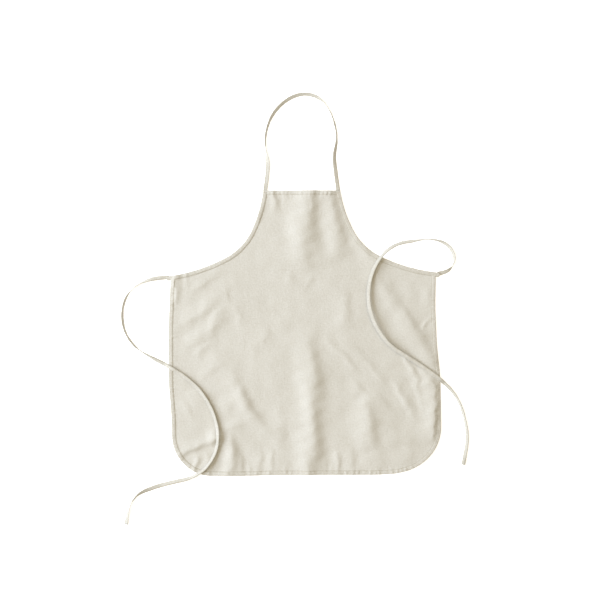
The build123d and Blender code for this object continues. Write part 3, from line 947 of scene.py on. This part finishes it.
def make_tape(name, node, route, over_cloth, seed, swing=0):
    """A folded and sewn tape along a route. Returns the piece and its sections."""
    points = route_line(name + "_line", route)
    leans = route_leans(route, len(points))
    steps = np.r_[0, np.cumsum(np.linalg.norm(np.diff(points, axis=0), axis=1))]
    random.seed(seed)
    for length, turn in ((0.052, 4.0), (0.021, 2.5)):
        phase = random.uniform(0, 6)
        inward_of_ends = np.clip(np.minimum(steps, steps[-1] - steps) / 0.03, 0, 1)
        leans += np.radians(turn) * np.sin(steps / length * 2 * math.pi + phase) * inward_of_ends
    centres, across, out = settle(points, leans, over_cloth, swing)
    section = list(TAPE_SECTION) + [SPLIT] + [(u, -v) for u, v in TAPE_SECTION[:0:-1]]
    rings = [centres + across * u * TAPE_WIDTH / 2 + out * v * TAPE_THICKNESS / 2 for u, v in section]
    rings = [np.column_stack([r[:, 0], r[:, 1], np.maximum(r[:, 2], LOWEST)]) for r in rings]
    round_u = [(u + 1) * TAPE_WIDTH / 2 + (0 if v >= 0 else 2 * TAPE_WIDTH) for u, v in section]
    uvs = np.stack([np.column_stack([np.full(len(steps), u), steps]) for u in round_u], axis=1)
    piece = new_piece(name, np.stack(rings, axis=1).reshape(-1, 3),
                      ring_faces(len(points), len(section)), tape, uvs.reshape(-1, 2))
    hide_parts(node)
    return piece, (centres, across, out, steps)


def section_at(sections, distance):
    """The tape's centre and its directions across, out and along at a distance along it."""
    centres, across, out, steps = sections
    columns = [np.interp(distance, steps, column) for column in np.hstack([centres, across, out]).T]
    values = np.array(columns)
    return values[0:3], unit(values[3:6]), unit(values[6:9])


SEAM_GROOVE = 0.72  # of half the tape's thickness
SEAM_END = 6 * MM


def tape_stitches(name, node, sections, first=SEAM_END):
    """The seam along a tape's open side, seen on both faces."""
    length = sections[3][-1]
    distances = np.arange(first, length - SEAM_END, STITCH_PITCH)
    found = [section_at(sections, d) for d in distances]
    middle = np.array([f[0] + f[1] * TAPE_SEAM for f in found])
    out = np.array([f[2] for f in found])
    along = unit(np.gradient(middle, axis=0))
    lift = TAPE_THICKNESS / 2 * SEAM_GROOVE
    piece = stitches(name, [(middle + out * lift, along, out), (middle - out * lift, along, -out)])
    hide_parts(node)
    return piece


FOLD_BACK = 13 * MM
FOLD_LAYER = 0.55 * MM
FOLD_BULGE = 0.35 * MM  # how far the fold stands past the tape's end
FOLD_PROFILE = ((-0.97, 0.1), (-0.95, 0.75), (-0.85, 1.0), (0.0, 1.04), (0.85, 1.0), (0.95, 0.75),
                (0.97, 0.1))


def end_fold(name, node, sections):
    """The tape's end, turned back on itself and sewn across."""
    length = sections[3][-1]
    distances = np.r_[np.linspace(length - FOLD_BACK, length, 8), length + FOLD_BULGE]
    rings = []
    for index, distance in enumerate(distances):
        centre, across, out = section_at(sections, min(distance, length))
        along = np.cross(across, out)
        centre = centre + along * (distance - min(distance, length))
        size = 0.72 if index in (0, len(distances) - 1) else 1.0
        ring = [centre + across * u * TAPE_WIDTH / 2 + out * (TAPE_THICKNESS / 2 + v * FOLD_LAYER * size)
                for u, v in FOLD_PROFILE]
        ring += [centre + across * u * TAPE_WIDTH / 2 + out * 0.1 * MM for u, v in FOLD_PROFILE[::-1]]
        rings.append(ring)
    rings = np.array(rings)
    rings[:, :, 2] = np.maximum(rings[:, :, 2], LOWEST)
    count = rings.shape[1]
    uvs = np.array([[(i / count * 0.03, d) for i in range(count)] for d in distances]).reshape(-1, 2)
    piece = new_piece(name, rings.reshape(-1, 3), ring_faces(len(distances), count), tape, uvs)
    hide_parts(node)
    return piece


# ---------------------------------------------------------------- the tapes, which are free cords

LEFT_TIE_LENGTH = 0.840
RIGHT_TIE_LENGTH = 0.821
RIGHT_SWING = 50  # degrees: the right tie's loop swings over the armhole and the skirt
loop, loop_sections = make_tape("neck_loop_tape", "neck_loop", NECK_LOOP_ROUTE, False, 21)
loop_seam = tape_stitches("neck_loop_seam", "neck_loop_stitching", loop_sections)
for piece in (loop, loop_seam):
    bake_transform(piece)

TACK_ON_TIE = 5.5 * MM
for word, route, length, seed, swing in (("left", LEFT_TIE_ROUTE, LEFT_TIE_LENGTH, 31, 0),
                                         ("right", RIGHT_TIE_ROUTE, RIGHT_TIE_LENGTH, 47, RIGHT_SWING)):
    tie, sections = make_tape("tie_" + word, "waist_tie_" + word, route, True, seed, swing)
    seam = tape_stitches("tie_seam_" + word, "tie_stitching_" + word, sections, first=0.009)
    fold = end_fold("tie_end_" + word, "tie_end_fold_" + word, sections)
    centre, across, out = section_at(sections, TACK_ON_TIE)
    tack = bar_tack("tie_bar_tack_" + word, centre + out * TAPE_THICKNESS / 2, across, out)
    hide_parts("tie_tack_" + word)
    for piece in (tie, seam, fold, tack):
        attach(piece, word + "_tie")

# ---------------------------------------------------------------- the apron itself

panel = make_panel()
STUB = 5.4 * MM  # the rounded end of an armhole band
OVERRUN = 5.2 * MM  # how far an armhole band runs on past the waist corner, before its rounded end
TAPER = 3 * MM
SEAM_CLEAR = 9 * MM  # the skirt's and the hem's seams stop short of the armhole bands
SEAM_HEIGHT = 0.50  # of half the thickness, at the seam's groove
TACK_FROM_TOP = 4 * MM
TACK_FROM_WAIST = 15 * MM
for word, edge, turn in (("left", left_armhole, 1), ("right", right_armhole, -1)):
    # each edge runs from the bib down, with the cloth on its left for the left armhole, on its right
    # for the right one
    end = np.array(edge[-1])
    ahead = unit(end - np.array(edge[-2]))
    longer = list(edge) + [tuple(end + ahead * OVERRUN * (i + 1) / 3) for i in range(3)]
    band = folded_edge("armhole_band_" + word, longer, turn * BINDING_DEPTH, ARMHOLE_HALF, binding,
                       taper=TAPER, rounded=STUB)
    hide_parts("armhole_binding_" + word)
    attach(band, "apron")
border = folded_edge("side_and_bottom_band", skirt_edge, BINDING_DEPTH, BINDING_HALF, binding)
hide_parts("edge_binding")
hem = folded_edge("bib_hem", bib_edge[::-1], HEM_DEPTH, HEM_HALF, hemmed)
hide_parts("bib_top_hem")
edge_seams = (
    ("armhole_seam_left", "armhole_stitching_left", left_armhole, BINDING_SEAM, ARMHOLE_HALF, 0),
    ("armhole_seam_right", "armhole_stitching_right", right_armhole[::-1], BINDING_SEAM, ARMHOLE_HALF, 0),
    ("side_and_bottom_seam", "edge_stitching", skirt_edge, BINDING_SEAM, BINDING_HALF, SEAM_CLEAR),
    ("hem_seam", "hem_stitching", bib_edge[::-1], HEM_SEAM, HEM_HALF, SEAM_CLEAR),
)
for name, node, edge, inset, half, skip in edge_seams:
    line = edge_stitches(name, edge, inset, half * SEAM_HEIGHT, skip)
    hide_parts(node)
    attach(line, "apron")
for word, edge, turn in (("left", left_armhole, 1), ("right", right_armhole, -1)):
    at, places, ahead, inward = resampled(edge, MM)
    for spot, distance in (("neck", TACK_FROM_TOP), ("waist", at[-1] - TACK_FROM_WAIST)):
        index = int(np.argmin(abs(at - distance)))
        point = places[index] + inward[index] * turn * BINDING_DEPTH / 2
        x, y = lay(point[0], point[1])
        place = np.array([x, y, cloth_height(x, y) + ARMHOLE_HALF * 0.95])
        tack = bar_tack(spot + "_bar_tack_" + word, place, (*inward[index], 0), (0, 0, 1))
        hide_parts(spot + "_tack_" + word)
        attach(tack, "apron")

for piece in (panel, border, hem):
    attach(piece, "apron")
